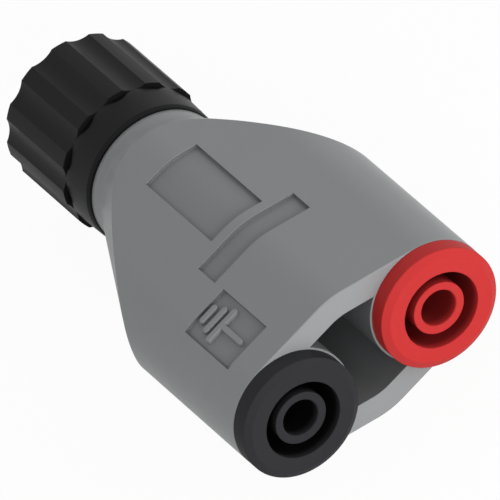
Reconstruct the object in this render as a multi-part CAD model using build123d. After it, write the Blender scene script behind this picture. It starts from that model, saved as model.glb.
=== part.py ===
from build123d import *
import os
from math import atan, cos, degrees, radians, sin, sqrt, tan

# Adapter from a bayonet coaxial plug to two shrouded 4 mm sockets.
# Millimetres. +X runs from the plug's mouth to the sockets, +Y to the red socket, +Z up.
# The origin is on the plug's axis, in the plane of the coupling nut's front face.

# Clearances
FIT = 0.03
RUN = 0.06
NUT_GAP = 0.12

# Cutters reach this far past what they cut
OVER = 1.0

# Moulded body
SOCKET_PITCH = 19.0
ARM_STEP = 0.02
CROWN_STEP = 0.1
BODY_LENGTH = 42.44
NECK_STEP = 0.28
NECK_LENGTH = 1.75
CONE_ANGLE = 23.8
WALL = 2.9
END_CHAMFER = 0.12
SPIGOT_R = 5.9
SPIGOT_LENGTH = 1.2
CHAMBER_START = 7.25
TUBE_LENGTH = 20.0
FORK_DEPTH = 15.23
FORK_LIP = 0.2
COVER_T = 2.4
LEDGE = 0.6
COVER_RIM_T = 0.8
TERMINAL_ROOM = 0.25

# Recessed panels in the upper face: distance of the near end from the body's end, length, middle and width across
PANEL_DEPTH = 0.45
LONG_PANEL = (19.49, 13.82, 0.0, 6.99)
CROSS_PANEL = (14.61, 3.52, 0.0, 13.12)
EARTH_PANEL = (3.98, 9.03, -9.42, 5.97)

# Sockets
FLANGE_T = 2.46
FLANGE_R = 7.14
FACE_R = 6.3
FACE_BEVEL = 0.53
BARREL_R = 5.7
BARREL_LENGTH = 16.4
SHROUD_GAP_R = 4.55
SHROUD_GAP_DEPTH = 15.8
POST_R = 3.1
POST_RECESS = 0.5
ENTRY_R = 2.14
POST_LIP = 5.0
SOCKET_BORE_R = 2.0
SOCKET_BORE_DEPTH = 12.6
CONTACT_R = 2.6
CONTACT_TAIL = 1.2
MOUTH_CHAMFER = 0.1
SNAP_BACK = 3.0
SNAP_LENGTH = 1.2
SNAP_HEIGHT = 0.3
SNAP_WIDTH = 3.0
RING_T = 0.45
RING_R = 3.9
RING_GAP = 1.4
RING_GROOVE = 0.4
CUP_R = 1.35
CUP_BORE_R = 0.6
CUP_LENGTH = 2.6

# Coupling nut
NUT_R = 9.05
FLUTED_LENGTH = 12.1
FLUTES = 12
FLUTE_R = 3.2
FLUTE_DEPTH = 0.46
FLUTE_TURN = 19.3
COLLAR_STEP = 0.45
COLLAR_TAPER = 0.12
COLLAR_ROUND = 0.6
NOTCH_LENGTH = 0.75
NOTCH_R = 5.0
NOTCH_DEPTH = 0.3
MOUTH_R = 4.9
LIP_LENGTH = 2.18

# Bayonet tracks inside the nut's mouth
LUG_TRACK_W = 2.2
TRACK_R = 5.62
TRACK_ENTRY = 1.9
TRACK_END = 5.0
TRACK_TURN = 75.0
DETENT_TURN = 82.0
DETENT_BACK = 0.55
TRACK_START_ANGLE = 34.0

# Plug shell and what it holds
SHOULDER_X = 9.5
SHELL_FLANGE_T = 1.2
SHELL_R = 3.8
SHELL_BORE_R = 3.3
SHELL_LIP_R = 2.9
SHELL_LIP_T = 1.2
SHELL_TAIL = 3.6
FINGER_R = 4.05
FINGER_T = 0.5
FINGER_REACH = 4.9
FINGER_SLOTS = 4
FINGER_SLOT_W = 0.45
FINGER_RELIEF = 0.2
RELIEF_LEAD = 0.15
ROOT_T = 0.4
ROOT_LENGTH = 3.4
PIN_R = 0.675
PIN_REACH = 5.2
PIN_TIP = 0.8
PIN_TIP_R = 0.3
PIN_SEAT_R = 0.9
SHANK_R = 1.05
PIN_TAIL = 1.6
INSULATOR_R = 3.45
INSULATOR_REACH = 4.2
INSULATOR_BORE_R = 2.5
INSULATOR_FLOOR = 0.5
GASKET_T = 0.7
GASKET_R = 4.75
WASHER_T = 0.3
THRUST_WASHER_T = 0.45
WAVE_HEIGHT = 1.9
WAVE_T = 0.25
WAVES = 3
LOCKNUT_AF = 9.6
LOCKNUT_T = 2.2
TAG_T = 0.4
TAG_R = 5.3
TAG_TAB_W = 2.2
TAG_TAB_REACH = 6.9
TAG_HOLE_Y = 6.0

# Leads
CORE_R = 0.4
SLEEVE_R = 0.8
LEAD_STRAIGHT = 1.4
LEAD_BEND = 1.5
STRIPPED = 1.2

# Radii that follow the nut and the sockets
COLLAR_R = NUT_R - COLLAR_STEP
COLLAR_END_R = COLLAR_R - COLLAR_TAPER
NECK_R = COLLAR_END_R - NECK_STEP
CROWN_R = NUT_R - CROWN_STEP
ARM_R = FLANGE_R + ARM_STEP

# Stations along the axis
SPRING_X = SHOULDER_X + SHELL_FLANGE_T + WASHER_T
WASHER_X = SPRING_X + WAVE_HEIGHT + RUN
LIP_X = WASHER_X + THRUST_WASHER_T + RUN
NUT_LENGTH = LIP_X + LIP_LENGTH + SPIGOT_LENGTH
NECK_X = NUT_LENGTH + NUT_GAP
END_X = NECK_X + BODY_LENGTH
FACE_X = END_X + FLANGE_T
CONE_X = NECK_X + NECK_LENGTH
SLOPE = tan(radians(CONE_ANGLE))
CHAMBER_X = NECK_X + CHAMBER_START
TUBE_X = END_X - TUBE_LENGTH
FORK_X = END_X - FORK_DEPTH
COVER_X = FORK_X - COVER_T
ARM_Y = SOCKET_PITCH / 2
BARREL_END_X = END_X - BARREL_LENGTH
POST_X = FACE_X - POST_RECESS
CONTACT_X = POST_X - POST_LIP
CONTACT_END_X = BARREL_END_X - CONTACT_TAIL
SHELL_END_X = CHAMBER_X + SHELL_TAIL
ROOT_END_X = SHOULDER_X + ROOT_LENGTH
REAR_INSULATOR_END_X = SHELL_END_X - SHELL_LIP_T


def turned(*outline):
    """Solid turned about the X axis from the corners (x, r) of half its section."""
    return revolve(make_face(Polyline(*outline, close=True)), axis=Axis.X)


def rod(x_start, x_end, radius):
    """Round bar along the X axis."""
    return turned((x_start, 0), (x_end, 0), (x_end, radius), (x_start, radius))


def tube(x_start, x_end, inner, outer):
    """Tube along the X axis."""
    return turned((x_start, inner), (x_end, inner), (x_end, outer), (x_start, outer))


def across(shape, side=1):
    """Move a shape from the plug's axis to a socket's axis: side 1 is red, side -1 is black."""
    return Pos(0, side * ARM_Y, 0) * shape


def around(shape, angle):
    """Turn a shape about the X axis."""
    return Rot(angle, 0, 0) * shape


def block(x_range, y_range, z_range):
    """Box between the given limits."""
    low, high = zip(x_range, y_range, z_range)
    size = [b - a for a, b in zip(low, high)]
    return Pos(*low) * Box(*size, align=(Align.MIN, Align.MIN, Align.MIN))


def body_section(inset):
    """Section of the body: a straight-sided skin round three circles, drawn in by inset."""
    circles = Circle(CROWN_R - inset).edges()
    for side in (1, -1):
        circles += (Pos(side * ARM_Y, 0) * Circle(ARM_R - inset)).edges()
    return make_hull(circles)


def prism(section, x_start, x_end):
    """Extrude a section, drawn with Y across and Z up, from x_start to x_end."""
    return extrude(Plane(origin=(x_start, 0, 0), x_dir=(0, 1, 0), z_dir=(1, 0, 0)) * section, x_end - x_start)


def cone(x_start, x_end, radius_at_start):
    """Solid cone that opens towards the sockets at the body's own angle."""
    radius_at_end = radius_at_start + SLOPE * (x_end - x_start)
    return turned((x_start, 0), (x_end, 0), (x_end, radius_at_end), (x_start, radius_at_start))


def fork_section(inset):
    """Section of the space between the two arms, whose inner sides stand out by a lip."""
    arms = Sketch() + [Pos(side * ARM_Y, 0) * Circle(ARM_R + FORK_LIP + inset) for side in (1, -1)]
    return body_section(WALL + inset) - arms


def panel(back, length, middle, width):
    """Cutter for a recess in the upper face, with its floor parallel to that face."""
    x_end = END_X - back
    shape = block((x_end - length, x_end), (middle - width / 2, middle + width / 2), (0, 2 * CROWN_R))
    return shape - prism(body_section(PANEL_DEPTH), x_end - length - OVER, x_end + OVER)


def snap_bumps(radius, width):
    """Wedges above and below a barrel of the given radius, which snap into the body."""
    x_front = END_X - SNAP_BACK
    root = radius - OVER
    ring = turned((x_front, root), (x_front, radius + SNAP_HEIGHT), (x_front - SNAP_LENGTH, root))
    return ring & block((x_front - SNAP_LENGTH, x_front), (-width / 2, width / 2), (-2 * radius, 2 * radius))


def housing():
    """Moulded body: conical shoulder, two socket arms, the fork between them and the inner chamber."""
    shell = prism(body_section(0), CONE_X, END_X)
    edges = shell.faces().sort_by(Axis.X)[-1].edges()
    shell = chamfer(edges, END_CHAMFER) & cone(CONE_X, END_X + OVER, NECK_R)
    shell += rod(NECK_X, CONE_X, NECK_R)
    shell += rod(NECK_X - SPIGOT_LENGTH, NECK_X, SPIGOT_R)
    inner_r = NECK_R + SLOPE * (CHAMBER_X - CONE_X) - WALL / cos(radians(CONE_ANGLE))
    shell -= prism(body_section(WALL), CHAMBER_X, TUBE_X) & cone(CHAMBER_X, TUBE_X, inner_r)
    terminal_range = (CHAMBER_X, CHAMBER_X + TAG_T + LOCKNUT_T)
    shell -= rod(*terminal_range, LOCKNUT_AF / sqrt(3) + TERMINAL_ROOM)
    half_tab = TAG_TAB_W / 2 + TERMINAL_ROOM
    shell -= block(terminal_range, (-TAG_TAB_REACH - TERMINAL_ROOM, 0), (-half_tab, half_tab))
    shell -= prism(fork_section(LEDGE), TUBE_X - OVER, FORK_X)
    shell -= prism(fork_section(0), COVER_X, END_X + OVER)
    shell -= rod(0, CHAMBER_X + OVER, SHELL_R + FIT)
    for side in (1, -1):
        shell -= across(rod(TUBE_X - OVER, END_X + OVER, BARREL_R + FIT), side)
        shell -= across(snap_bumps(BARREL_R + FIT, SNAP_WIDTH + 2 * FIT), side)
    for place in (LONG_PANEL, CROSS_PANEL, EARTH_PANEL):
        shell -= panel(*place)
    return shell


def chamber_cover():
    """Plug that closes the inner chamber at the bottom of the fork, with a gripping rim at the front."""
    plate = prism(fork_section(FIT), COVER_X, FORK_X)
    hollow = prism(fork_section(COVER_RIM_T), COVER_X + COVER_T / 2, FORK_X + OVER)
    return plate - hollow


def socket_insert():
    """Insulating insert of one socket: flange, barrel, the gap for a plug's shroud and the inner post."""
    seat_r = CONTACT_R + FIT
    gap_x = FACE_X - SHROUD_GAP_DEPTH
    shape = turned(
        (POST_X, ENTRY_R + MOUTH_CHAMFER),
        (POST_X, POST_R),
        (gap_x, POST_R),
        (gap_x, SHROUD_GAP_R),
        (FACE_X, SHROUD_GAP_R),
        (FACE_X, FACE_R),
        (FACE_X - FACE_BEVEL, FLANGE_R),
        (END_X, FLANGE_R),
        (END_X, BARREL_R),
        (BARREL_END_X, BARREL_R),
        (BARREL_END_X, seat_r),
        (CONTACT_X, seat_r),
        (CONTACT_X, ENTRY_R),
        (POST_X - MOUTH_CHAMFER, ENTRY_R),
    )
    return shape + snap_bumps(BARREL_R, SNAP_WIDTH)


def socket_contact():
    """Turned contact of one socket: 4 mm bore at the front, clip groove and solder cup at the back."""
    groove_x = BARREL_END_X - RING_T - FIT
    cup_x = CONTACT_END_X - CUP_LENGTH
    return turned(
        (CONTACT_X, SOCKET_BORE_R),
        (CONTACT_X, CONTACT_R),
        (BARREL_END_X, CONTACT_R),
        (BARREL_END_X, CONTACT_R - RING_GROOVE),
        (groove_x, CONTACT_R - RING_GROOVE),
        (groove_x, CONTACT_R),
        (CONTACT_END_X, CONTACT_R),
        (CONTACT_END_X, CUP_R),
        (cup_x, CUP_R),
        (cup_x, CUP_BORE_R),
        (CONTACT_END_X, CUP_BORE_R),
        (CONTACT_END_X, 0),
        (CONTACT_X - SOCKET_BORE_DEPTH, 0),
        (CONTACT_X - SOCKET_BORE_DEPTH, SOCKET_BORE_R),
    )


def retaining_ring():
    """Open clip that holds a contact in its insert."""
    ring = tube(BARREL_END_X - RING_T, BARREL_END_X, CONTACT_R - RING_GROOVE + FIT, RING_R)
    x_range = (BARREL_END_X - RING_T - OVER, BARREL_END_X + OVER)
    gap = block(x_range, (-RING_GAP / 2, RING_GAP / 2), (0, 2 * RING_R))
    return ring - gap


def radial_face(angle, middle, width, r_inner, r_outer):
    """Face in the plane through the X axis at an angle from +Y, for lofts that run round the axis."""
    corners = []
    for x, r in ((-1, r_inner), (1, r_inner), (1, r_outer), (-1, r_outer)):
        corners.append((middle + x * width / 2, r * cos(radians(angle)), r * sin(radians(angle))))
    return make_face(Polyline(*corners, close=True))


def track_cutter(start_angle):
    """Cutter for one bayonet track: entry slot, helical ramp and detent pocket."""
    ramp_slope = atan((TRACK_END - TRACK_ENTRY) / (radians(TRACK_TURN) * MOUTH_R))
    inner = MOUTH_R - OVER
    outer = TRACK_R + OVER
    steps = 6
    ramp = []
    for i in range(steps + 1):
        middle = TRACK_ENTRY + (TRACK_END - TRACK_ENTRY) * i / steps
        angle = start_angle + TRACK_TURN * i / steps
        ramp.append(radial_face(angle, middle, LUG_TRACK_W / cos(ramp_slope), inner, outer))
    half = LUG_TRACK_W / 2
    slot = block((-OVER, TRACK_ENTRY), (inner, outer), (-half, half))
    pin = Pos(0, inner, 0) * Rot(-90, 0, 0) * Cylinder(half, outer - inner, align=(Align.CENTER, Align.CENTER, Align.MIN))
    cutter = around(slot, start_angle) + loft(ramp)
    cutter += around(Pos(TRACK_ENTRY, 0, 0) * pin, start_angle)
    cutter += around(Pos(TRACK_END, 0, 0) * pin, start_angle + TRACK_TURN)
    cutter += around(Pos(TRACK_END - DETENT_BACK, 0, 0) * pin, start_angle + DETENT_TURN)
    return cutter & rod(-OVER, NUT_LENGTH, TRACK_R)


def notch_cutter():
    """Cutter for the pocket behind a ridge at the top, whose floor rises to the collar's surface."""
    tilt = degrees(atan(NOTCH_DEPTH / NOTCH_LENGTH))
    hollow = Pos(0, 0, NOTCH_R) * rod(-OVER, NOTCH_LENGTH + OVER, NOTCH_R)
    hollow = Pos(FLUTED_LENGTH, 0, COLLAR_R - NOTCH_DEPTH) * Rot(0, -tilt, 0) * hollow
    return hollow & rod(FLUTED_LENGTH, FLUTED_LENGTH + NOTCH_LENGTH, NUT_R)


def coupling_nut():
    """Fluted bayonet nut with its inner tracks, and an inner lip that the spring bears on."""
    roll = COLLAR_ROUND * (1 - cos(radians(45)))
    shape = turned(
        (0, MOUTH_R),
        (0, NUT_R),
        (FLUTED_LENGTH, NUT_R),
        (FLUTED_LENGTH, COLLAR_R),
        (FLUTED_LENGTH + NOTCH_LENGTH, COLLAR_R),
        (NUT_LENGTH - COLLAR_ROUND, COLLAR_END_R),
        (NUT_LENGTH - roll, COLLAR_END_R - roll),
        (NUT_LENGTH, COLLAR_END_R - COLLAR_ROUND),
        (NUT_LENGTH, SPIGOT_R + NUT_GAP),
        (LIP_X + LIP_LENGTH, SPIGOT_R + NUT_GAP),
        (LIP_X + LIP_LENGTH, SHELL_R + RUN),
        (LIP_X, SHELL_R + RUN),
        (LIP_X, MOUTH_R),
    )
    flute = Pos(0, 0, NUT_R - FLUTE_DEPTH + FLUTE_R) * rod(-OVER, FLUTED_LENGTH, FLUTE_R)
    notch = notch_cutter()
    pitch = 360 / FLUTES
    for i in range(FLUTES):
        ridge_angle = FLUTE_TURN + pitch * i
        shape -= around(flute, ridge_angle + pitch / 2)
        shape -= around(notch, ridge_angle)
    for start in (TRACK_START_ANGLE, TRACK_START_ANGLE + 180):
        shape -= track_cutter(start)
    return shape


def plug_shell():
    """Turned metal shell: flange at the front, barrel through the nut's lip and the neck, and a tail."""
    flange_end = SHOULDER_X + SHELL_FLANGE_T
    return turned(
        (SHOULDER_X, SHELL_BORE_R),
        (SHOULDER_X, MOUTH_R - RUN),
        (flange_end, MOUTH_R - RUN),
        (flange_end, SHELL_R),
        (SHELL_END_X, SHELL_R),
        (SHELL_END_X, SHELL_LIP_R),
        (REAR_INSULATOR_END_X, SHELL_LIP_R),
        (REAR_INSULATOR_END_X, SHELL_BORE_R),
    )


def outer_contact():
    """Slotted spring sleeve round the pin, with a root pressed into the shell."""
    tip_x = SHOULDER_X - FINGER_REACH
    relief_x = SHOULDER_X - GASKET_T - RELIEF_LEAD
    root_r = SHELL_BORE_R - FIT
    shape = turned(
        (tip_x, FINGER_R - FINGER_T),
        (tip_x, FINGER_R),
        (relief_x, FINGER_R),
        (relief_x, FINGER_R - FINGER_RELIEF),
        (SHOULDER_X, FINGER_R - FINGER_RELIEF),
        (SHOULDER_X, root_r),
        (ROOT_END_X, root_r),
        (ROOT_END_X, root_r - ROOT_T),
        (SHOULDER_X - FINGER_T, root_r - ROOT_T),
        (SHOULDER_X - FINGER_T, FINGER_R - FINGER_T),
    )
    slot = block((tip_x - OVER, SHOULDER_X - 2 * FINGER_T), (0, 2 * FINGER_R), (-FINGER_SLOT_W / 2, FINGER_SLOT_W / 2))
    for i in range(FINGER_SLOTS):
        shape -= around(slot, 360 / FINGER_SLOTS * (i + 0.5))
    return shape


def centre_pin():
    """Centre contact: tapered tip, pin, thicker shank and solder cup."""
    tip_x = SHOULDER_X - PIN_REACH
    seat_x = SHOULDER_X - FINGER_T - INSULATOR_FLOOR - RELIEF_LEAD
    end_x = SHELL_END_X + PIN_TAIL
    return turned(
        (tip_x, 0),
        (tip_x, PIN_TIP_R),
        (tip_x + PIN_TIP, PIN_R),
        (seat_x, PIN_R),
        (seat_x, PIN_SEAT_R),
        (ROOT_END_X, PIN_SEAT_R),
        (ROOT_END_X, SHANK_R),
        (end_x, SHANK_R),
        (end_x, CUP_BORE_R),
        (end_x - CUP_LENGTH, CUP_BORE_R),
        (end_x - CUP_LENGTH, 0),
    )


def front_insulator():
    """Insulating cup round the pin, with a stem through the root of the outer contact."""
    tip_x = SHOULDER_X - INSULATOR_REACH
    floor_x = SHOULDER_X - FINGER_T
    stem_r = SHELL_BORE_R - FIT - ROOT_T - FIT
    return turned(
        (tip_x, INSULATOR_BORE_R),
        (tip_x, INSULATOR_R),
        (floor_x, INSULATOR_R),
        (floor_x, stem_r),
        (ROOT_END_X, stem_r),
        (ROOT_END_X, PIN_SEAT_R + FIT),
        (floor_x - INSULATOR_FLOOR, PIN_SEAT_R + FIT),
        (floor_x - INSULATOR_FLOOR, INSULATOR_BORE_R),
    )


def rear_insulator():
    """Insulating bush between the pin's shank and the shell."""
    return tube(ROOT_END_X, REAR_INSULATOR_END_X, SHANK_R + FIT, SHELL_BORE_R - FIT)


def wave_spring():
    """Wave washer that holds the nut back: one lofted wave, repeated round the axis."""
    middle = SPRING_X + WAVE_HEIGHT / 2
    swing = (WAVE_HEIGHT - WAVE_T) / 2
    turn = 360 / WAVES
    steps = 10
    faces = []
    for i in range(steps + 1):
        angle = turn * i / steps
        x = middle + swing * cos(radians(360 * i / steps))
        faces.append(radial_face(angle, x, WAVE_T, SHELL_R + 2 * RUN, MOUTH_R - 2 * RUN))
    wave = loft(faces)
    spring = wave
    for i in range(1, WAVES):
        spring += around(wave, turn * i)
    return spring


def spring_seat_washer():
    """Fixed washer between the shell's flange and the wave spring."""
    return tube(SPRING_X - WASHER_T, SPRING_X, SHELL_R + FIT, MOUTH_R - RUN)


def thrust_washer():
    """Washer between the wave spring and the nut's lip, which slides forward with the nut."""
    return tube(WASHER_X, WASHER_X + THRUST_WASHER_T, SHELL_R + RUN, MOUTH_R - RUN)


def sealing_gasket():
    """Soft ring on the shoulder, where the rim of a jack comes to rest."""
    return tube(SHOULDER_X - GASKET_T, SHOULDER_X, FINGER_R - FINGER_RELIEF + FIT, GASKET_R)


def ground_solder_tag():
    """Ring terminal clamped on the shell's tail, with its tab towards the black socket."""
    tag = rod(CHAMBER_X, CHAMBER_X + TAG_T, TAG_R)
    tag += block((CHAMBER_X, CHAMBER_X + TAG_T), (-TAG_TAB_REACH, 0), (-TAG_TAB_W / 2, TAG_TAB_W / 2))
    tag -= rod(CHAMBER_X - OVER, CHAMBER_X + OVER, SHELL_R + FIT)
    tag -= Pos(0, -TAG_HOLE_Y, 0) * rod(CHAMBER_X - OVER, CHAMBER_X + OVER, CORE_R + FIT)
    return tag


def shell_locknut():
    """Thin hexagon nut that clamps the shell and the solder tag to the neck."""
    x_start = CHAMBER_X + TAG_T
    hexagon = RegularPolygon(LOCKNUT_AF / 2, 6, major_radius=False, rotation=30)
    nut = prism(hexagon, x_start, x_start + LOCKNUT_T)
    return nut - rod(x_start - OVER, x_start + LOCKNUT_T + OVER, SHELL_R + FIT)


def round_bar(path, radius):
    """Bar of round section along a path of straight runs and arcs."""
    bar = Part()
    for edge in path.edges():
        section = Plane(edge @ 0, z_dir=edge % 0) * Circle(radius)
        if edge.geom_type == GeomType.LINE:
            bar += extrude(section, edge.length)
        else:
            axis = Axis(edge.arc_center, (edge % 0).cross(edge % 1))
            bar += revolve(section, axis, degrees(edge.length / edge.radius))
    return bar


def lead(start, end, end_reach):
    """Lead in the plane Z = 0: a core with a bend near each end, and a sleeve on the run between them."""
    first = (start[0] - CUP_LENGTH / 2 - LEAD_STRAIGHT, start[1])
    last = (end[0] + end_reach + LEAD_STRAIGHT, end[1])
    core = round_bar(FilletPolyline(start, first, last, end, radius=LEAD_BEND), CORE_R)
    run = Line(first, last)
    section = Plane(run @ 0, z_dir=run % 0).offset(STRIPPED) * (Circle(SLEEVE_R) - Circle(CORE_R + FIT))
    return core, extrude(section, run.length - 2 * STRIPPED)


def signal_lead():
    """Core and sleeve of the lead from the red socket to the centre pin."""
    start = (CONTACT_END_X - CUP_LENGTH / 2, ARM_Y)
    end = (SHELL_END_X + PIN_TAIL - CUP_LENGTH / 2, 0)
    return lead(start, end, CUP_LENGTH / 2)


def ground_lead():
    """Core and sleeve of the lead from the black socket to the solder tag."""
    start = (CONTACT_END_X - CUP_LENGTH / 2, -ARM_Y)
    end = (CHAMBER_X, -TAG_HOLE_Y)
    return lead(start, end, TAG_T + LOCKNUT_T)


def pieces():
    """Every piece of the adapter by name."""
    signal_core, signal_sleeve = signal_lead()
    ground_core, ground_sleeve = ground_lead()
    nodes = {
        "housing": housing(),
        "chamber_cover": chamber_cover(),
        "coupling_nut": coupling_nut(),
        "thrust_washer": thrust_washer(),
        "wave_spring": wave_spring(),
        "spring_seat_washer": spring_seat_washer(),
        "plug_shell": plug_shell(),
        "outer_contact": outer_contact(),
        "centre_pin": centre_pin(),
        "front_insulator": front_insulator(),
        "rear_insulator": rear_insulator(),
        "sealing_gasket": sealing_gasket(),
        "shell_locknut": shell_locknut(),
        "ground_solder_tag": ground_solder_tag(),
        "signal_wire_core": signal_core,
        "signal_wire_sleeve": signal_sleeve,
        "ground_wire_core": ground_core,
        "ground_wire_sleeve": ground_sleeve,
    }
    for colour, side in (("red", 1), ("black", -1)):
        nodes[colour + "_socket_insert"] = across(socket_insert(), side)
        nodes[colour + "_socket_contact"] = across(socket_contact(), side)
        nodes[colour + "_retaining_ring"] = across(retaining_ring(), side)
    return nodes


os.makedirs("parts", exist_ok=True)
for name, shape in pieces().items():
    export_step(shape, "parts/" + name + ".step")
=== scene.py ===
"""Looks of an adapter from a bayonet coaxial plug to two shrouded 4 mm sockets, in a white studio."""

import logging
import math
from dataclasses import dataclass, field
from enum import Enum
from typing import Sequence

import bmesh
import bpy
from mathutils import Matrix, Vector


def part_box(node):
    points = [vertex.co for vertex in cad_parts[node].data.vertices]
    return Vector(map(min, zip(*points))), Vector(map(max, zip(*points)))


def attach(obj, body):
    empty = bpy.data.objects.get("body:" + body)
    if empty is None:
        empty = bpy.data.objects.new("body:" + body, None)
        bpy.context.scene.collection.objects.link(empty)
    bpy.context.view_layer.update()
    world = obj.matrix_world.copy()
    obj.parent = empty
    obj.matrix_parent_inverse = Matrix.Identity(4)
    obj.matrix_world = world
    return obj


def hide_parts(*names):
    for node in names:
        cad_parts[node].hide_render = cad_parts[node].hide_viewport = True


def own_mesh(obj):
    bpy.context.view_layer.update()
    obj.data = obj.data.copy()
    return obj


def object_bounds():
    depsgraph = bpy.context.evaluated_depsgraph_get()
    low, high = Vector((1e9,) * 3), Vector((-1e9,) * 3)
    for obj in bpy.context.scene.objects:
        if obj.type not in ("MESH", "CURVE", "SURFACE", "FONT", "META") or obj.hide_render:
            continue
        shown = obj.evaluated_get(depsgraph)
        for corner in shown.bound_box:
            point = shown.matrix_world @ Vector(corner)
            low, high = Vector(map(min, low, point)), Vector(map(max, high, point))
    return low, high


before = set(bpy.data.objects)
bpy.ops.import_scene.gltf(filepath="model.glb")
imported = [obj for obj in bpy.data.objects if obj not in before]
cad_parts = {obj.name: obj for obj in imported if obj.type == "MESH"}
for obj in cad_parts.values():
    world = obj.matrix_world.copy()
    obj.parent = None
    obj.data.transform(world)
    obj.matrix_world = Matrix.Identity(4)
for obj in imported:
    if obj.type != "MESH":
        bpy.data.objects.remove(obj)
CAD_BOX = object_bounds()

LOG = logging.getLogger("adapter")
MM = 0.001
ADAPTER_BODY = "adapter_body"
WHITE = (1.0, 1.0, 1.0, 1.0)

Colour = tuple[float, float, float]
Socket = bpy.types.NodeSocket


class Side(Enum):
    """The two sockets, by the sign of their place across the adapter."""

    RED = 1
    BLACK = -1

    @property
    def word(self) -> str:
        """Name of the side as it stands in the node names."""
        return self.name.lower()


def linear(red: float, green: float, blue: float) -> Colour:
    """Turn a display colour into the linear one that shaders use, by the sRGB curve.

    Args:
        red: Red from 0 to 255.
        green: Green from 0 to 255.
        blue: Blue from 0 to 255.

    Returns:
        The linear colour, each part from 0 to 1.
    """
    parts = []
    for value in (red, green, blue):
        share = value / 255
        parts.append(share / 12.92 if share <= 0.04045 else ((share + 0.055) / 1.055) ** 2.4)
    return tuple(parts)


class Graph:
    """Node tree of a material or of the world."""

    def __init__(self, tree: bpy.types.NodeTree) -> None:
        """Take up a node tree."""
        self.tree = tree

    def node(
        self, kind: str, inputs: dict[str | int, object] | None = None, **settings: object
    ) -> bpy.types.Node:
        """Add a node.

        Args:
            kind: Blender's name of the node type, without its leading ShaderNode.
            inputs: Constants, or sockets to link, by the name or index of the input.
            **settings: Attributes of the node.

        Returns:
            The new node.
        """
        node = self.tree.nodes.new("ShaderNode" + kind)
        for name, value in settings.items():
            setattr(node, name, value)
        for name, value in (inputs or {}).items():
            if isinstance(value, Socket):
                self.tree.links.new(value, node.inputs[name])
            else:
                node.inputs[name].default_value = value
        return node

    def math(self, operation: str, *values: Socket | float) -> Socket:
        """Sum, product or other plain operation on sockets or numbers."""
        return self.node("Math", dict(enumerate(values)), operation=operation).outputs["Value"]

    def seen_rays(self, straight: float, mirrored: float) -> Socket:
        """Tell the rays that see the background, straight or in a mirror or glass, from plain light.

        Args:
            straight: Result for a ray that sees it straight.
            mirrored: Result for a ray that sees it in a mirror or glass.

        Returns:
            The result, 0 for any other ray.
        """
        path = self.node("LightPath")
        seen: Socket | float = 0.0
        for name, share in {"Camera": straight, "Glossy": mirrored, "Transmission": mirrored}.items():
            seen = self.math("MAXIMUM", seen, self.math("MULTIPLY", path.outputs[f"Is {name} Ray"], share))
        return seen


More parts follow.
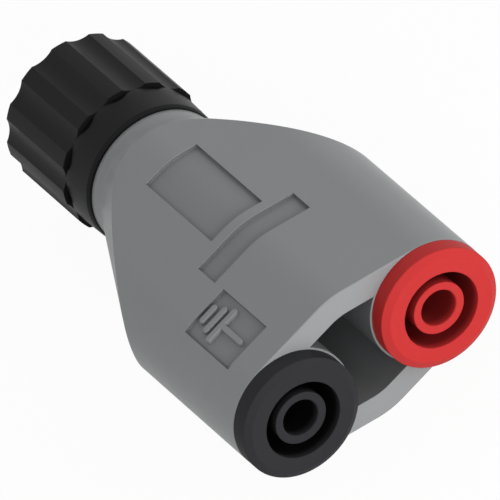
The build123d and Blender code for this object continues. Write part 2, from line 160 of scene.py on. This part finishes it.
class Shader(Graph):
    """Node tree of one material, built round its Principled shader."""

    MIX_COLOURS = (6, 7)
    MIXED_COLOUR = 2
    NOISE_SPAN = (0.3, 0.7)
    BEVEL_SAMPLES = 6

    def __init__(
        self, name: str, colour: Colour, roughness: float, specular: float, metallic: float = 0.0
    ) -> None:
        """Start a material.

        Args:
            name: Name of the material.
            colour: Linear base colour.
            roughness: Roughness of the surface.
            specular: Specular level of the surface.
            metallic: 1 for metal, 0 for anything else.
        """
        self.material = bpy.data.materials.new(name)
        self.material.use_nodes = True
        super().__init__(self.material.node_tree)
        self.principled = self.tree.nodes["Principled BSDF"]
        self.set("Base Color", (*colour, 1.0))
        self.set("Roughness", roughness)
        self.set("Specular IOR Level", specular)
        self.set("Metallic", metallic)

    def set(self, socket: str, value: object) -> None:
        """Set a constant on the shader's own socket."""
        self.principled.inputs[socket].default_value = value

    def feed(self, socket: str, source: Socket) -> None:
        """Link a socket of another node to the shader."""
        self.tree.links.new(source, self.principled.inputs[socket])

    def ramp(self, value: Socket, middle: float, blur: float, low: float, high: float) -> Socket:
        """Smooth step.

        Args:
            value: What drives the step.
            middle: Value at the middle of the step.
            blur: Half of the step's length.
            low: Result below the step.
            high: Result above it.

        Returns:
            The stepped value.
        """
        limits = {"From Min": middle - blur, "From Max": middle + blur, "To Min": low, "To Max": high}
        step = self.node("MapRange", {"Value": value, **limits}, interpolation_type="SMOOTHSTEP")
        return step.outputs["Result"]

    def place(self) -> Socket:
        """Position in the object's own frame, in metres."""
        return self.node("TexCoord").outputs["Object"]

    def parts(self) -> tuple[Socket, Socket, Socket]:
        """Place along the adapter, distance from its middle plane and height above its axis, in metres."""
        parts = self.node("SeparateXYZ", {0: self.place()}).outputs
        return parts["X"], self.math("ABSOLUTE", parts["Y"]), parts["Z"]

    def radius(self, across: Socket, up: Socket) -> Socket:
        """Distance from an axis along the adapter, from the distances across and up."""
        offset = self.node("CombineXYZ", {"Y": across, "Z": up}).outputs[0]
        return self.node("VectorMath", {0: offset}, operation="LENGTH").outputs["Value"]

    def scaled(self, colour: Socket, factor: Socket | float) -> Socket:
        """Colour times a number."""
        return self.node("VectorMath", {0: colour, "Scale": factor}, operation="SCALE").outputs[0]

    def noise(self, vector: Socket, size: float, detail: float = 2.0) -> Socket:
        """Noise from 0 to 1.

        Args:
            vector: Where the noise is read.
            size: Size of one grain, in metres.
            detail: Number of finer octaves.

        Returns:
            The noise's value.
        """
        return self.node("TexNoise", {"Vector": vector, "Scale": 1 / size, "Detail": detail}).outputs["Fac"]

    def spread(self, value: Socket, low: float, high: float) -> Socket:
        """Map a noise value to a range.

        Args:
            value: Value from 0 to 1.
            low: Result where the noise is at its usual lowest.
            high: Result where the noise is at its usual highest.

        Returns:
            The mapped value.
        """
        lowest, highest = self.NOISE_SPAN
        limits = {"From Min": lowest, "From Max": highest, "To Min": low, "To Max": high}
        return self.node("MapRange", {"Value": value, **limits}, clamp=False).outputs["Result"]

    def bump(self, height: Socket, depth: float, below: Socket | None = None) -> Socket:
        """Bump from a height map.

        Args:
            height: Height from 0 to 1.
            depth: Height of 1, in metres.
            below: Normal that the bump is laid on.

        Returns:
            The bumped normal.
        """
        inputs = {"Height": height, "Distance": depth, "Strength": 1.0}
        if below is not None:
            inputs["Normal"] = below
        return self.node("Bump", inputs).outputs["Normal"]

    def soft_edges(self, radius: Socket | float) -> Socket:
        """Normal that rounds every edge by a radius in metres."""
        return self.node("Bevel", {"Radius": radius}, samples=self.BEVEL_SAMPLES).outputs["Normal"]

    def tinted(self, colour: Colour, factor: Socket, share: float) -> Socket:
        """Vary a colour's brightness.

        Args:
            colour: Linear colour at the middle of the range.
            factor: Value from 0 to 1 that drives the change.
            share: Largest change, as a share of the colour.

        Returns:
            The varied colour.
        """
        dark = tuple(part * (1 - share) for part in colour)
        light = tuple(min(1.0, part * (1 + share)) for part in colour)
        first, second = self.MIX_COLOURS
        mix = self.node("Mix", {0: factor, first: (*dark, 1.0), second: (*light, 1.0)}, data_type="RGBA")
        return mix.outputs[self.MIXED_COLOUR]


@dataclass(frozen=True)
class BodySkin:
    """Section of the body's skin: a large circle in the middle and a smaller one on each socket's axis."""

    crown_radius: float = 8.95 * MM
    arm_radius: float = 7.16 * MM
    arm_y: float = 9.5 * MM

    @property
    def taper(self) -> float:
        """Loss of radius from the middle to a socket's axis, per unit of the way."""
        return (self.crown_radius - self.arm_radius) / self.arm_y

    @property
    def lean(self) -> float:
        """Slope of the flat skin between the circles, in radians."""
        return math.asin(self.taper)

    def height(self, y: float, inset: float) -> float:
        """Height of the upper face above the axis.

        Args:
            y: Place across the adapter.
            inset: Depth below the face, square to it.

        Returns:
            The height of that depth.
        """
        crown = self.crown_radius - inset
        arm = self.arm_radius - inset
        across = abs(y)
        if across < crown * math.sin(self.lean):
            return math.sqrt(crown**2 - across**2)
        if across < self.arm_y + arm * math.sin(self.lean):
            return (crown - across * math.sin(self.lean)) / math.cos(self.lean)
        return math.sqrt(arm**2 - (across - self.arm_y) ** 2)


SKIN = BodySkin()


@dataclass(frozen=True)
class MouldedPlastic:
    """Moulded plastic with an eroded grain, slight flow marks and edges that are never quite sharp."""

    name: str
    colour: Colour
    roughness: float = 0.5
    specular: float = 0.4
    grain_size: float = 0.12 * MM
    grain_depth: float = 0.006 * MM
    flow_size: float = 11.0 * MM
    drift: float = 0.03
    patch_size: float = 3.0 * MM
    patch_change: float = 0.015
    edge: float = 0.08 * MM

    def edge_radius(self, shader: Shader) -> Socket | float:
        """Radius by which the edges are rounded."""
        return self.edge

    def level(self, shader: Shader) -> Socket | float:
        """Share of the colour that is left at each place."""
        return 1.0

    def texture(self, shader: Shader) -> Socket:
        """Lay the grain on a shader.

        Args:
            shader: Shader of the material.

        Returns:
            The surface's colour, with its flow marks.
        """
        place = shader.place()
        flow = shader.noise(place, self.flow_size, detail=3.0)
        grain = shader.noise(place, self.grain_size)
        patches = shader.noise(place, self.patch_size)
        smoothest = self.roughness - self.patch_change
        roughest = self.roughness + self.patch_change
        shader.feed("Roughness", shader.spread(patches, smoothest, roughest))
        rounded = shader.soft_edges(self.edge_radius(shader))
        shader.feed("Normal", shader.bump(grain, self.grain_depth, rounded))
        return shader.tinted(self.colour, flow, self.drift)

    def material(self) -> bpy.types.Material:
        """Build the material.

        Returns:
            The finished material.
        """
        shader = Shader(self.name, self.colour, self.roughness, self.specular)
        tint = self.texture(shader)
        shader.feed("Base Color", shader.scaled(tint, self.level(shader)))
        return shader.material


@dataclass(frozen=True)
class HousingPlastic(MouldedPlastic):
    """The body's plastic, with painted shade on the walls and floors of the recesses and inside the fork.

    The depth below the skin is measured from the circle of its section that the nearest bit of skin belongs
    to. As far as the cone reaches, only the strip with the first recess counts, because the cone's sides lie
    below that skin.
    """

    reach: float = 12.5 * MM
    cone_reach: float = 3.6 * MM
    cone_end_x: float = 40.0 * MM
    lowest: float = -6.3 * MM
    first_x: float = 25.0 * MM
    last_x: float = 59.33 * MM
    neck_end_x: float = 24.0 * MM
    neck_edge: float = 0.9 * MM
    wall_depth: float = 0.06 * MM
    floor_depth: float = 0.43 * MM
    inner_depth: float = 1.5 * MM
    blur: float = 0.02 * MM
    # Shares of the colour left by the painted shade on the recess walls, on the recess floors and inside the
    # fork.
    wall_shade: float = 0.58
    floor_shade: float = 0.88
    inner_shade: float = 0.66

    def edge_radius(self, shader: Shader) -> Socket:
        """Radius by which the edges are rounded, larger where the neck runs into the cone.

        Args:
            shader: Shader of the material.

        Returns:
            The radius, in metres.
        """
        along = shader.parts()[0]
        neck = shader.math("LESS_THAN", along, self.neck_end_x)
        return shader.math("MULTIPLY_ADD", neck, self.neck_edge - self.edge, self.edge)

    def skin_depth(self, shader: Shader, across: Socket, up: Socket) -> Socket:
        """Depth below the body's skin.

        Args:
            shader: Shader of the material.
            across: Distance from the middle plane.
            up: Height above the axis.

        Returns:
            The depth, in metres.
        """
        centre = shader.math("SUBTRACT", across, shader.math("MULTIPLY", up, math.tan(SKIN.lean)))
        centre = shader.math("MINIMUM", shader.math("MAXIMUM", centre, 0.0), SKIN.arm_y)
        circle = shader.math("SUBTRACT", SKIN.crown_radius, shader.math("MULTIPLY", centre, SKIN.taper))
        return shader.math("SUBTRACT", circle, shader.radius(shader.math("SUBTRACT", across, centre), up))

    def level(self, shader: Shader) -> Socket:
        """Share of the colour that is left at each place.

        Args:
            shader: Shader of the material.

        Returns:
            The share, less than 1 where shade is painted in the recesses and inside the fork.
        """
        along, across, up = shader.parts()
        depth = self.skin_depth(shader, across, up)
        # Painted shade: darker on the recess walls, darker again on their floors and darkest deep inside the
        # fork.
        wall = shader.ramp(depth, self.wall_depth, self.blur, 1.0, self.wall_shade)
        floor = shader.ramp(depth, self.floor_depth, self.blur, 1.0, self.floor_shade / self.wall_shade)
        fade = self.inner_depth / 2
        inner = shader.ramp(depth, self.inner_depth, fade, 1.0, self.inner_shade / self.floor_shade)
        shade = shader.math("MULTIPLY", shader.math("MULTIPLY", wall, floor), inner)
        loss = shader.math("SUBTRACT", 1.0, shade)
        arms = shader.math("GREATER_THAN", along, self.cone_end_x)
        reach = shader.math("MULTIPLY_ADD", arms, self.reach - self.cone_reach, self.cone_reach)
        limits = (
            ("LESS_THAN", across, reach),
            ("GREATER_THAN", up, self.lowest),
            ("GREATER_THAN", along, self.first_x),
            ("LESS_THAN", along, self.last_x),
        )
        for limit in limits:
            loss = shader.math("MULTIPLY", loss, shader.math(*limit))
        return shader.math("SUBTRACT", 1.0, loss)


@dataclass(frozen=True)
class SocketPlastic(MouldedPlastic):
    """A socket insert's plastic, with painted shade inside its shroud gap and its bore."""

    face_x: float = 61.87 * MM
    post_x: float = 61.3 * MM
    split_radius: float = 3.8 * MM
    gap_radius: float = 4.8 * MM
    fade: float = 1.2 * MM
    # Share of the colour left by the painted shade deep in the gap and the bore.
    inner_shade: float = 0.5
    edge: float = 0.2 * MM

    def level(self, shader: Shader) -> Socket:
        """Share of the colour that is left at each place.

        Args:
            shader: Shader of the material.

        Returns:
            The share, less than 1 where shade is painted below the faces of flange and post.
        """
        along, across, up = shader.parts()
        radius = shader.radius(shader.math("SUBTRACT", across, SKIN.arm_y), up)
        outer = shader.math("GREATER_THAN", radius, self.split_radius)
        mouth = shader.math("MULTIPLY", outer, self.face_x - self.post_x)
        depth = shader.math("SUBTRACT", shader.math("ADD", mouth, self.post_x), along)
        # Painted shade, deepening below the flange's face in the gap and below the post's face in the bore.
        loss = shader.ramp(depth, self.fade / 2, self.fade / 2, 0.0, 1.0 - self.inner_shade)
        inside = shader.math("LESS_THAN", radius, self.gap_radius)
        return shader.math("SUBTRACT", 1.0, shader.math("MULTIPLY", loss, inside))


@dataclass(frozen=True)
class Metal:
    """Metal with a slight tarnish in clouds and a roughness that changes a little."""

    name: str
    colour: Colour
    roughness: float = 0.25
    specular: float = 0.5
    smoother: float = 0.05
    rougher: float = 0.08
    cloud_size: float = 2.0 * MM
    tarnish: float = 0.05

    def clouded(self) -> tuple[Shader, Socket]:
        """Start the material with its tarnish.

        Returns:
            The shader, and the clouds from 0 to 1.
        """
        shader = Shader(self.name, self.colour, self.roughness, self.specular, metallic=1.0)
        cloud = shader.noise(shader.place(), self.cloud_size, detail=3.0)
        shader.feed("Base Color", shader.tinted(self.colour, cloud, self.tarnish))
        return shader, cloud

    def finished(self, shader: Shader, gloss: Socket, relief: Socket, depth: float) -> bpy.types.Material:
        """Finish the material with its roughness and relief.

        Args:
            shader: Shader of the material.
            gloss: Noise that changes the roughness.
            relief: Height of the relief, from 0 to 1.
            depth: Height of 1, in metres.

        Returns:
            The finished material.
        """
        smoothest = self.roughness - self.smoother
        roughest = self.roughness + self.rougher
        shader.feed("Roughness", shader.spread(gloss, smoothest, roughest))
        shader.feed("Normal", shader.bump(relief, depth))
        return shader.material


@dataclass(frozen=True)
class TurnedMetal(Metal):
    """Plated metal from a lathe, with fine rings round its axis, or round one at each side."""

    ring_size: float = 0.08 * MM
    ring_depth: float = 0.0015 * MM
    axis_y: float = 0.0

    def material(self) -> bpy.types.Material:
        """Build the material.

        Returns:
            The finished material.
        """
        shader, cloud = self.clouded()
        along, across, up = shader.parts()
        radius = shader.radius(shader.math("SUBTRACT", across, self.axis_y), up)
        profile = shader.node("CombineXYZ", {"X": along, "Y": radius}).outputs[0]
        rings = shader.noise(profile, self.ring_size, detail=1.0)
        return self.finished(shader, cloud, rings, self.ring_depth)


@dataclass(frozen=True)
class SheetMetal(Metal):
    """Stamped or drawn metal with a rolled grain."""

    roughness: float = 0.3
    rougher: float = 0.1
    cloud_size: float = 1.5 * MM
    tarnish: float = 0.07
    grain_size: float = 0.2 * MM
    grain_depth: float = 0.002 * MM
    rolling: tuple[float, float, float] = (1.0, 0.15, 1.0)

    def material(self) -> bpy.types.Material:
        """Build the material.

        Returns:
            The finished material.
        """
        shader = self.clouded()[0]
        inputs = {0: shader.place(), 1: self.rolling}
        rolled = shader.node("VectorMath", inputs, operation="MULTIPLY").outputs[0]
        grain = shader.noise(rolled, self.grain_size, detail=3.0)
        return self.finished(shader, grain, grain, self.grain_depth)


GREY = linear(134, 136, 137)
RED = linear(177, 46, 46)
BLACK = linear(43, 43, 45)


class Finish(Enum):
    """Every finish of the adapter."""

    GREY_BODY = HousingPlastic("grey_body", GREY, roughness=0.3, specular=0.2)
    # The sign's bars get a lighter painted shade on their walls.
    GREY_SIGN = HousingPlastic("grey_body", GREY, roughness=0.3, specular=0.2, wall_shade=0.85)
    DARK_INNER = MouldedPlastic("dark_inner", linear(40, 42, 45), roughness=0.6, specular=0.15)
    BLACK_GRIP = MouldedPlastic("black_grip", linear(21, 21, 22), roughness=0.35, specular=0.1, drift=0.06)
    SPRING_STEEL = SheetMetal("spring_steel", linear(176, 176, 178))
    NICKEL = TurnedMetal("nickel", linear(205, 202, 194), roughness=0.24)
    GOLD = TurnedMetal("gold", linear(226, 190, 112), roughness=0.2)
    WHITE_INSULATOR = MouldedPlastic("white_insulator", linear(236, 236, 232), roughness=0.45, drift=0.01)
    SILICONE = MouldedPlastic("silicone", linear(196, 92, 48), roughness=0.7, specular=0.3)
    TINNED = SheetMetal("tinned", linear(196, 197, 199), roughness=0.35)
    COPPER = SheetMetal("copper", linear(206, 128, 84), roughness=0.3)
    RED_INSULATION = MouldedPlastic("red_insulation", linear(176, 36, 32), roughness=0.35)
    BLACK_INSULATION = MouldedPlastic("black_insulation", linear(26, 26, 27), roughness=0.35)
    # The sockets' mouldings carry painted shade in their gaps and bores.
    RED_MOULDING = SocketPlastic("red_moulding", RED, roughness=0.5, specular=0.1, inner_shade=0.45)
    BLACK_MOULDING = SocketPlastic("black_moulding", BLACK, roughness=0.55, specular=0.06, inner_shade=0.16)
    CONTACT_BRASS = TurnedMetal("contact_brass", linear(190, 156, 96), roughness=0.28, axis_y=SKIN.arm_y)


class Palette:
    """Materials of the finishes, each made once."""

    def __init__(self) -> None:
        """Start with no material made."""
        self.made: dict[Finish, bpy.types.Material] = {}

    def get(self, finish: Finish) -> bpy.types.Material:
        """Give a finish's material.

        Args:
            finish: Finish to give.

        Returns:
            Its material, made at the first call.
        """
        if finish not in self.made:
            self.made[finish] = finish.value.material()
            self.made[finish].name = finish.name.lower()
        return self.made[finish]

    def dress_node(self, name: str, finish: Finish) -> None:
        """Give a node of the frame its finish.

        Args:
            name: Name of the node.
            finish: Finish of its whole surface.
        """
        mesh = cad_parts[name].data
        mesh.materials.clear()
        mesh.materials.append(self.get(finish))
        LOG.info("dressed %s in %s", name, finish.value.name)

    def add_piece(self, mesh: bpy.types.Mesh, finish: Finish) -> bpy.types.Object:
        """Add a piece of the scene, which rides on the adapter's body.

        Args:
            mesh: Final mesh, in the frame's own place.
            finish: Finish of its whole surface.

        Returns:
            The new object.
        """
        piece = bpy.data.objects.new(mesh.name, mesh)
        bpy.context.scene.collection.objects.link(piece)
        mesh.materials.append(self.get(finish))
        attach(piece, ADAPTER_BODY)
        LOG.info("added %s on %s", piece.name, ADAPTER_BODY)
        return piece


def loft(name: str, rings: Sequence[Sequence[Vector]], closed: bool = False) -> bpy.types.Mesh:
    """Mesh through closed rings of points, capped at both ends unless it closes on itself.

    Args:
        name: Name of the mesh.
        rings: Rings with the same number of points each.
        closed: Whether the last ring joins the first.

    Returns:
        The mesh, with its normals outwards.
    """
    mesh = bmesh.new()
    made = [[mesh.verts.new(point) for point in ring] for ring in rings]
    uppers = made[1:] + made[:1] if closed else made[1:]
    for lower, upper in zip(made, uppers):
        count = len(lower)
        for i in range(count):
            j = (i + 1) % count
            mesh.faces.new((lower[i], lower[j], upper[j], upper[i]))
    if not closed:
        caps = [mesh.faces.new(reversed(made[0])), mesh.faces.new(made[-1])]
        for cap in caps:
            cap.normal_update()
        bmesh.ops.triangulate(mesh, faces=caps)
    bmesh.ops.recalc_face_normals(mesh, faces=mesh.faces)
    data = bpy.data.meshes.new(name)
    mesh.to_mesh(data)
    mesh.free()
    return data


@dataclass(frozen=True)
class SignBar:
    """Bar of the earth sign across the adapter, with a stem from its middle where it has one."""

    name: str
    x: float
    length: float
    stem_end_x: float | None = None


@dataclass
class MouldedBody:
    """Grey housing with the raised earth sign in its third panel, and the plug at the bottom of the fork."""

    bar_foot: float = 0.495 * MM
    bar_stroke: float = 0.76 * MM
    stem_stroke: float = 0.66 * MM
    stroke_round: float = 0.1 * MM
    round_angles: tuple[int, ...] = (30, 60, 90)
    end_steps: int = 10
    point_spacing: float = 0.4 * MM
    sign_y: float = -9.42 * MM
    bars: tuple[SignBar, ...] = (
        SignBar("earth_sign_short_bar", 47.32 * MM, 2.5 * MM),
        SignBar("earth_sign_middle_bar", 48.74 * MM, 3.5 * MM),
        SignBar("earth_sign_stem_bar", 50.02 * MM, 4.6 * MM, 54.25 * MM),
    )

    def round_end(self, x: float, y: float, radius: float, turn: float) -> list[Vector]:
        """Half circle in plan.

        Args:
            x: Its centre along the adapter.
            y: Its centre across it.
            radius: Its radius.
            turn: Angle of its first point, in degrees.

        Returns:
            Its points, in plan.
        """
        points = []
        for i in range(self.end_steps + 1):
            angle = math.radians(turn + 180 * i / self.end_steps)
            points.append(Vector((x + radius * math.cos(angle), y + radius * math.sin(angle))))
        return points

    def bar_outline(self, bar: SignBar, inset: float) -> list[Vector]:
        """Outline of a bar, with its stem.

        Args:
            bar: Bar to draw.
            inset: How far the outline is drawn in from the stroke's edge.

        Returns:
            The outline's corners, in plan.
        """
        radius = self.bar_stroke / 2 - inset
        reach = (bar.length - self.bar_stroke) / 2
        points = self.round_end(bar.x, self.sign_y - reach, radius, 180)
        if bar.stem_end_x is not None:
            stem_radius = self.stem_stroke / 2 - inset
            points.append(Vector((bar.x + radius, self.sign_y - stem_radius)))
            points += self.round_end(bar.stem_end_x - self.stem_stroke / 2, self.sign_y, stem_radius, -90)
            points.append(Vector((bar.x + radius, self.sign_y + stem_radius)))
        return points + self.round_end(bar.x, self.sign_y + reach, radius, 0)

    def side_counts(self, outline: Sequence[Vector]) -> list[int]:
        """Number of points that each side of an outline takes, so that it follows the upper face."""
        ends = list(outline[1:]) + [outline[0]]
        return [max(1, round((end - start).length / self.point_spacing)) for start, end in zip(outline, ends)]

    def on_surface(self, outline: Sequence[Vector], counts: Sequence[int], depth: float) -> list[Vector]:
        """Lay an outline on the upper face.

        Args:
            outline: Corners in plan.
            counts: Number of points on each side.
            depth: Depth below the face.

        Returns:
            The outline's points.
        """
        points = []
        for start, end, count in zip(outline, list(outline[1:]) + [outline[0]], counts):
            for i in range(count):
                flat = start.lerp(end, i / count)
                points.append(Vector((flat.x, flat.y, SKIN.height(flat.y, depth))))
        return points

    def bar_mesh(self, bar: SignBar) -> bpy.types.Mesh:
        """One raised bar of the sign, from below the panel's floor to the upper face, with rounded edges.

        Args:
            bar: Bar to make.

        Returns:
            Its mesh.
        """
        levels = [(0.0, self.bar_foot), (0.0, self.stroke_round)]
        for angle in map(math.radians, self.round_angles):
            inset = self.stroke_round * (1 - math.cos(angle))
            levels.append((inset, self.stroke_round * (1 - math.sin(angle))))
        counts = self.side_counts(self.bar_outline(bar, 0.0))
        rings = [self.on_surface(self.bar_outline(bar, inset), counts, depth) for inset, depth in levels]
        return loft(bar.name, rings)

    def build(self, palette: Palette) -> None:
        """Dress the nodes and add the sign.

        Args:
            palette: Materials of the finishes.
        """
        palette.dress_node("housing", Finish.GREY_BODY)
        palette.dress_node("chamber_cover", Finish.DARK_INNER)
        for bar in self.bars:
            palette.add_piece(self.bar_mesh(bar), Finish.GREY_SIGN)


@dataclass
class CouplingNut:
    """Fluted nut with the washers and the wave spring behind its shoulder."""

    waves: int = 3
    spring_thickness: float = 0.25 * MM
    spring_width: float = 0.86 * MM
    spring_steps: int = 96
    flattened: float = 0.58

    def spring_mesh(self) -> bpy.types.Mesh:
        """Wave spring as one smooth closed band, in the space of its node.

        Returns:
            Its mesh.
        """
        low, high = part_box("wave_spring")
        outer = high.z
        inner = outer - self.spring_width
        middle = (low.x + high.x) / 2
        swing = (high.x - low.x - self.spring_thickness) / 2
        half = self.spring_thickness / 2
        rings = []
        for i in range(self.spring_steps):
            angle = 2 * math.pi * i / self.spring_steps
            x = middle + swing * math.cos(self.waves * angle)
            corners = ((x - half, inner), (x + half, inner), (x + half, outer), (x - half, outer))
            rings.append([Vector((u, r * math.cos(angle), r * math.sin(angle))) for u, r in corners])
        return loft("wave_spring_band", rings, closed=True)

    def build(self, palette: Palette) -> None:
        """Dress the nodes and lay in the spring as a smooth band in place of its node.

        Args:
            palette: Materials of the finishes.
        """
        palette.dress_node("coupling_nut", Finish.BLACK_GRIP)
        for name in ("thrust_washer", "spring_seat_washer", "wave_spring"):
            palette.dress_node(name, Finish.SPRING_STEEL)
        spring = palette.add_piece(self.spring_mesh(), Finish.SPRING_STEEL)
        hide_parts("wave_spring")
        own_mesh(spring)


@dataclass
class CoaxialPlug:
    """Shell, contacts and insulators of the plug, and what clamps them to the body."""

    finishes: dict[str, Finish] = field(
        default_factory=lambda: {
            "plug_shell": Finish.NICKEL,
            "outer_contact": Finish.NICKEL,
            "centre_pin": Finish.GOLD,
            "front_insulator": Finish.WHITE_INSULATOR,
            "rear_insulator": Finish.WHITE_INSULATOR,
            "sealing_gasket": Finish.SILICONE,
            "shell_locknut": Finish.NICKEL,
            "ground_solder_tag": Finish.TINNED,
        }
    )

    def build(self, palette: Palette) -> None:
        """Dress the nodes."""
        for name, finish in self.finishes.items():
            palette.dress_node(name, finish)


@dataclass
class Wiring:
    """The two leads inside the body."""

    def build(self, palette: Palette) -> None:
        """Dress the nodes.

        Args:
            palette: Materials of the finishes.
        """
        for lead, finish in (("signal", Finish.RED_INSULATION), ("ground", Finish.BLACK_INSULATION)):
            palette.dress_node(f"{lead}_wire_core", Finish.COPPER)
            palette.dress_node(f"{lead}_wire_sleeve", finish)


@dataclass
class Socket4mm:
    """One shrouded socket: insert, contact and clip."""

    side: Side

    def build(self, palette: Palette) -> None:
        """Dress the nodes.

        Args:
            palette: Materials of the finishes.
        """
        moulding = Finish.RED_MOULDING if self.side is Side.RED else Finish.BLACK_MOULDING
        palette.dress_node(f"{self.side.word}_socket_insert", moulding)
        palette.dress_node(f"{self.side.word}_socket_contact", Finish.CONTACT_BRASS)
        palette.dress_node(f"{self.side.word}_retaining_ring", Finish.SPRING_STEEL)


@dataclass(frozen=True)
class Lamp:
    """Soft square lamp that faces the adapter."""

    name: str
    towards: tuple[float, float, float]
    power: float
    size: float = 0.35
    distance: float = 0.5


@dataclass
class Studio:
    """White floor and surroundings, soft lamps and the camera."""

    right: Vector = field(default_factory=lambda: Vector((0.5113, 0.7727, -0.3762)))
    down: Vector = field(default_factory=lambda: Vector((0.4452, -0.6127, -0.6530)))
    target: Vector = field(default_factory=lambda: Vector((35.4 * MM, 0.7 * MM, 0.0)))
    view_width: float = 53.55 * MM
    lens: float = 1500.0
    sensor: float = 36.0
    lamps: tuple[Lamp, ...] = (
        Lamp("front_lamp", (1.0, -0.1, 0.1), 2.65),
        Lamp("front_right_lamp", (0.75, 0.65, 0.1), 1.31),
        Lamp("right_lamp", (0.0, 0.8, 0.6), 0.31),
        Lamp("back_lamp", (-1.0, -0.15, 0.0), 1.2),
    )
    surround: float = 0.46
    floor_glow: float = 0.95
    floor_mirror: float = 0.24
    floor_size: float = 3.0
    floor_paper: float = 0.94
    clip_span: float = 10.0

    def place_camera(self) -> None:
        """Set the camera at the photograph's angle, far off with a long lens."""
        right = self.right.normalized()
        down = (self.down - self.down.dot(right) * right).normalized()
        into = right.cross(down)
        data = bpy.data.cameras.new("camera")
        data.sensor_width = self.sensor
        data.lens = self.lens
        distance = self.view_width * self.lens / self.sensor
        data.clip_start = distance / self.clip_span
        data.clip_end = distance * self.clip_span
        camera = bpy.data.objects.new("camera", data)
        turn = Matrix((right, -down, -into)).transposed()
        camera.matrix_world = Matrix.Translation(self.target - distance * into) @ turn.to_4x4()
        bpy.context.scene.collection.objects.link(camera)
        bpy.context.scene.camera = camera

    def place_lamps(self) -> None:
        """Set the lamps round the adapter."""
        for lamp in self.lamps:
            data = bpy.data.lights.new(lamp.name, "AREA")
            data.shape = "SQUARE"
            data.size = lamp.size
            data.energy = lamp.power
            piece = bpy.data.objects.new(lamp.name, data)
            direction = Vector(lamp.towards).normalized()
            piece.location = self.target + direction * lamp.distance
            piece.rotation_euler = direction.to_track_quat("Z", "Y").to_euler()
            piece.visible_camera = False
            piece.visible_glossy = False
            bpy.context.scene.collection.objects.link(piece)

    def light_surroundings(self) -> None:
        """White surroundings for what is seen and mirrored, and a softer level for plain light."""
        world = bpy.data.worlds.new("surroundings")
        bpy.context.scene.world = world
        world.use_nodes = True
        graph = Graph(world.node_tree)
        background = graph.tree.nodes["Background"]
        background.inputs["Color"].default_value = WHITE
        limits = {"Value": graph.seen_rays(1.0, 1.0), "To Min": self.surround, "To Max": 1.0}
        level = graph.node("MapRange", limits).outputs["Result"]
        graph.tree.links.new(level, background.inputs["Strength"])

    def lay_floor(self) -> None:
        """White floor under the adapter, which keeps a trace of its shadow."""
        low = CAD_BOX[0]
        half = self.floor_size / 2
        corners = [(-half, -half), (half, -half), (half, half), (-half, half)]
        mesh = bpy.data.meshes.new("floor")
        mesh.from_pydata([(x, y, low[2]) for x, y in corners], [], [(0, 1, 2, 3)])
        shader = Shader("floor_paper", (self.floor_paper,) * 3, roughness=0.9, specular=0.1)
        glow = shader.node("Emission", {"Color": WHITE, "Strength": 1.0}).outputs[0]
        seen = shader.seen_rays(self.floor_glow, self.floor_mirror)
        blend = shader.node("MixShader", {0: seen, 1: shader.principled.outputs[0], 2: glow}).outputs[0]
        shader.tree.links.new(blend, shader.tree.nodes["Material Output"].inputs["Surface"])
        mesh.materials.append(shader.material)
        floor = bpy.data.objects.new("floor", mesh)
        bpy.context.scene.collection.objects.link(floor)

    def build(self) -> None:
        """Set up the whole studio."""
        bpy.context.scene.view_settings.view_transform = "Standard"
        self.place_camera()
        self.place_lamps()
        self.light_surroundings()
        self.lay_floor()
        LOG.info("studio ready")


def main() -> None:
    """Dress every sub-assembly and set up the studio."""
    logging.basicConfig(level=logging.INFO, format="%(name)s: %(message)s")
    palette = Palette()
    sockets = [Socket4mm(side) for side in Side]
    for assembly in [MouldedBody(), CouplingNut(), CoaxialPlug(), Wiring(), *sockets]:
        assembly.build(palette)
    Studio().build()


if __name__ == "__main__":
    main()
